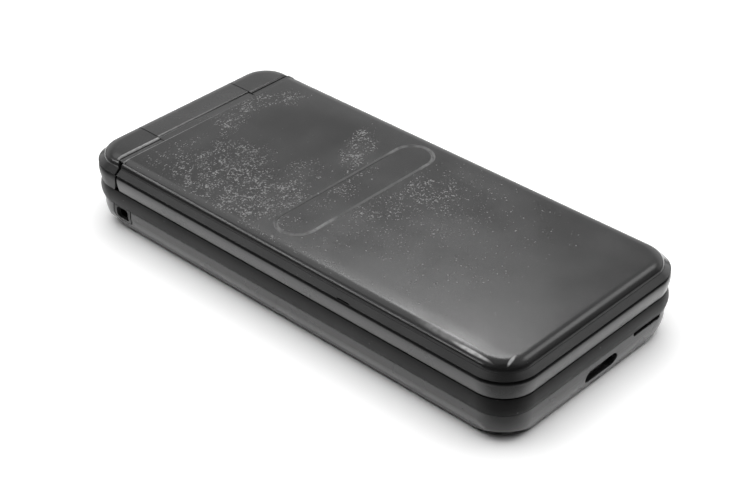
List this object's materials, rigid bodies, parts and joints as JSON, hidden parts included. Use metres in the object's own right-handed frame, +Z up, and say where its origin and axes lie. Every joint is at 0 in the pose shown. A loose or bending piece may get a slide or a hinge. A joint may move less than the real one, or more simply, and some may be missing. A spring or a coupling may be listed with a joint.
{
  "type": "feature phone",
  "caption": "Closed clamshell phone with a black lid over a numeric keypad, a round-ended status window, a side strap eyelet and a charging socket at the free end.",
  "frame": {"origin": "middle of the footprint on the resting face of the rear cover", "axes": "+Y towards the hinge end, +Z up through the closed lid, +X towards the side away from the strap eyelet"},
  "size_m": [0.0516, 0.113, 0.0167],
  "materials": {
    "cover_black": "worn satin paint",
    "window_black": "satin paint",
    "frame_grey": "satin paint",
    "case_grey": "satin paint",
    "rear_grey": "satin paint",
    "display_glass": "polished",
    "display_dark": "glossy",
    "sheet_steel": "rolled",
    "board_green": "solder mask",
    "inner_plastic": "moulded",
    "black_rubber": "matt",
    "key_silicone": "matt",
    "screw_steel": "turned",
    "contact_gold": "plated",
    "battery_wrap": "printed film",
    "key_black": "semi-gloss",
    "key_call_green": "semi-gloss, green sign",
    "key_end_red": "semi-gloss, red sign",
    "key_metal": "metallic paint"
  },
  "bodies": {
    "base": {"hinge_cap_left": "cover_black", "hinge_cap_right": "cover_black", "keypad_case": "case_grey", "rear_cover": "rear_grey", "camera_window": "display_glass", "board_shields": "sheet_steel", "card_socket": "sheet_steel", "usb_socket": "sheet_steel", "vibration_motor": "sheet_steel", "main_board": "board_green", "usb_board": "board_green", "loudspeaker": "inner_plastic", "camera_module": "inner_plastic", "rear_chassis": "inner_plastic", "harness_base": "black_rubber", "key_mat": "key_silicone", "base_screws": "screw_steel", "hinge_cam_case": "screw_steel", "key_domes": "contact_gold", "battery_contacts": "contact_gold", "microphone": "contact_gold", "antenna": "contact_gold", "battery": "battery_wrap"},
    "lid": {"lid_cover": "cover_black", "status_window": "window_black", "lid_frame": "frame_grey", "display_window": "display_glass", "display_panel": "display_dark", "display_bracket": "sheet_steel", "lid_board": "board_green", "status_panel": "display_dark", "earpiece": "inner_plastic", "lid_magnet": "sheet_steel", "lid_bumpers": "black_rubber", "lid_screws": "screw_steel", "hinge_sleeve": "screw_steel", "hinge_cam_shaft": "screw_steel", "harness_lid": "black_rubber"},
    "key_1": {"key_1": "key_black"},
    "key_2": {"key_2": "key_black"},
    "key_3": {"key_3": "key_black"},
    "key_4": {"key_4": "key_black"},
    "key_5": {"key_5": "key_black"},
    "key_6": {"key_6": "key_black"},
    "key_7": {"key_7": "key_black"},
    "key_8": {"key_8": "key_black"},
    "key_9": {"key_9": "key_black"},
    "key_star": {"key_star": "key_black"},
    "key_0": {"key_0": "key_black"},
    "key_hash": {"key_hash": "key_black"},
    "key_clear": {"key_clear": "key_black"},
    "key_menu": {"key_menu": "key_black"},
    "key_mail": {"key_mail": "key_black"},
    "key_camera": {"key_camera": "key_black"},
    "key_web": {"key_web": "key_black"},
    "key_call": {"key_call": "key_call_green"},
    "key_end": {"key_end": "key_end_red"},
    "nav_center": {"nav_center": "key_metal"},
    "nav_pad": {"nav_pad": "key_silicone"},
    "nav_ring": {"nav_ring": "key_black"}
  },
  "joints": [
    {"name": "lid_hinge", "type": "hinge", "parent": "base", "child": "lid", "pos_m": [0, 0.0522, 0.0134], "axis": [-1, 0, 0], "range_deg": [0, 160]},
    {"name": "key_1_press", "type": "slide", "parent": "base", "child": "key_1", "axis": [0, 0, -1], "range_m": [0, 0.0004], "stiffness_N_per_m": 300},
    {"name": "key_2_press", "type": "slide", "parent": "base", "child": "key_2", "axis": [0, 0, -1], "range_m": [0, 0.0004], "stiffness_N_per_m": 300},
    {"name": "key_3_press", "type": "slide", "parent": "base", "child": "key_3", "axis": [0, 0, -1], "range_m": [0, 0.0004], "stiffness_N_per_m": 300},
    {"name": "key_4_press", "type": "slide", "parent": "base", "child": "key_4", "axis": [0, 0, -1], "range_m": [0, 0.0004], "stiffness_N_per_m": 300},
    {"name": "key_5_press", "type": "slide", "parent": "base", "child": "key_5", "axis": [0, 0, -1], "range_m": [0, 0.0004], "stiffness_N_per_m": 300},
    {"name": "key_6_press", "type": "slide", "parent": "base", "child": "key_6", "axis": [0, 0, -1], "range_m": [0, 0.0004], "stiffness_N_per_m": 300},
    {"name": "key_7_press", "type": "slide", "parent": "base", "child": "key_7", "axis": [0, 0, -1], "range_m": [0, 0.0004], "stiffness_N_per_m": 300},
    {"name": "key_8_press", "type": "slide", "parent": "base", "child": "key_8", "axis": [0, 0, -1], "range_m": [0, 0.0004], "stiffness_N_per_m": 300},
    {"name": "key_9_press", "type": "slide", "parent": "base", "child": "key_9", "axis": [0, 0, -1], "range_m": [0, 0.0004], "stiffness_N_per_m": 300},
    {"name": "key_star_press", "type": "slide", "parent": "base", "child": "key_star", "axis": [0, 0, -1], "range_m": [0, 0.0004], "stiffness_N_per_m": 300},
    {"name": "key_0_press", "type": "slide", "parent": "base", "child": "key_0", "axis": [0, 0, -1], "range_m": [0, 0.0004], "stiffness_N_per_m": 300},
    {"name": "key_hash_press", "type": "slide", "parent": "base", "child": "key_hash", "axis": [0, 0, -1], "range_m": [0, 0.0004], "stiffness_N_per_m": 300},
    {"name": "key_clear_press", "type": "slide", "parent": "base", "child": "key_clear", "axis": [0, 0, -1], "range_m": [0, 0.0004], "stiffness_N_per_m": 300},
    {"name": "key_menu_press", "type": "slide", "parent": "base", "child": "key_menu", "axis": [0, 0, -1], "range_m": [0, 0.0004], "stiffness_N_per_m": 300},
    {"name": "key_mail_press", "type": "slide", "parent": "base", "child": "key_mail", "axis": [0, 0, -1], "range_m": [0, 0.0004], "stiffness_N_per_m": 300},
    {"name": "key_camera_press", "type": "slide", "parent": "base", "child": "key_camera", "axis": [0, 0, -1], "range_m": [0, 0.0004], "stiffness_N_per_m": 300},
    {"name": "key_web_press", "type": "slide", "parent": "base", "child": "key_web", "axis": [0, 0, -1], "range_m": [0, 0.0004], "stiffness_N_per_m": 300},
    {"name": "key_call_press", "type": "slide", "parent": "base", "child": "key_call", "axis": [0, 0, -1], "range_m": [0, 0.0004], "stiffness_N_per_m": 300},
    {"name": "key_end_press", "type": "slide", "parent": "base", "child": "key_end", "axis": [0, 0, -1], "range_m": [0, 0.0004], "stiffness_N_per_m": 300},
    {"name": "nav_center_press", "type": "slide", "parent": "base", "child": "nav_center", "axis": [0, 0, -1], "range_m": [0, 0.0004], "stiffness_N_per_m": 300},
    {"name": "nav_tilt_sideways", "type": "hinge", "parent": "base", "child": "nav_pad", "pos_m": [0, 0.0308, 0.0085], "axis": [0, 1, 0], "range_deg": [-1.1, 1.1], "stiffness_Nm_per_rad": 0.5},
    {"name": "nav_tilt_lengthways", "type": "hinge", "parent": "nav_pad", "child": "nav_ring", "pos_m": [0, 0.0308, 0.0085], "axis": [1, 0, 0], "range_deg": [-1.1, 1.1], "stiffness_Nm_per_rad": 0.5}
  ]
}
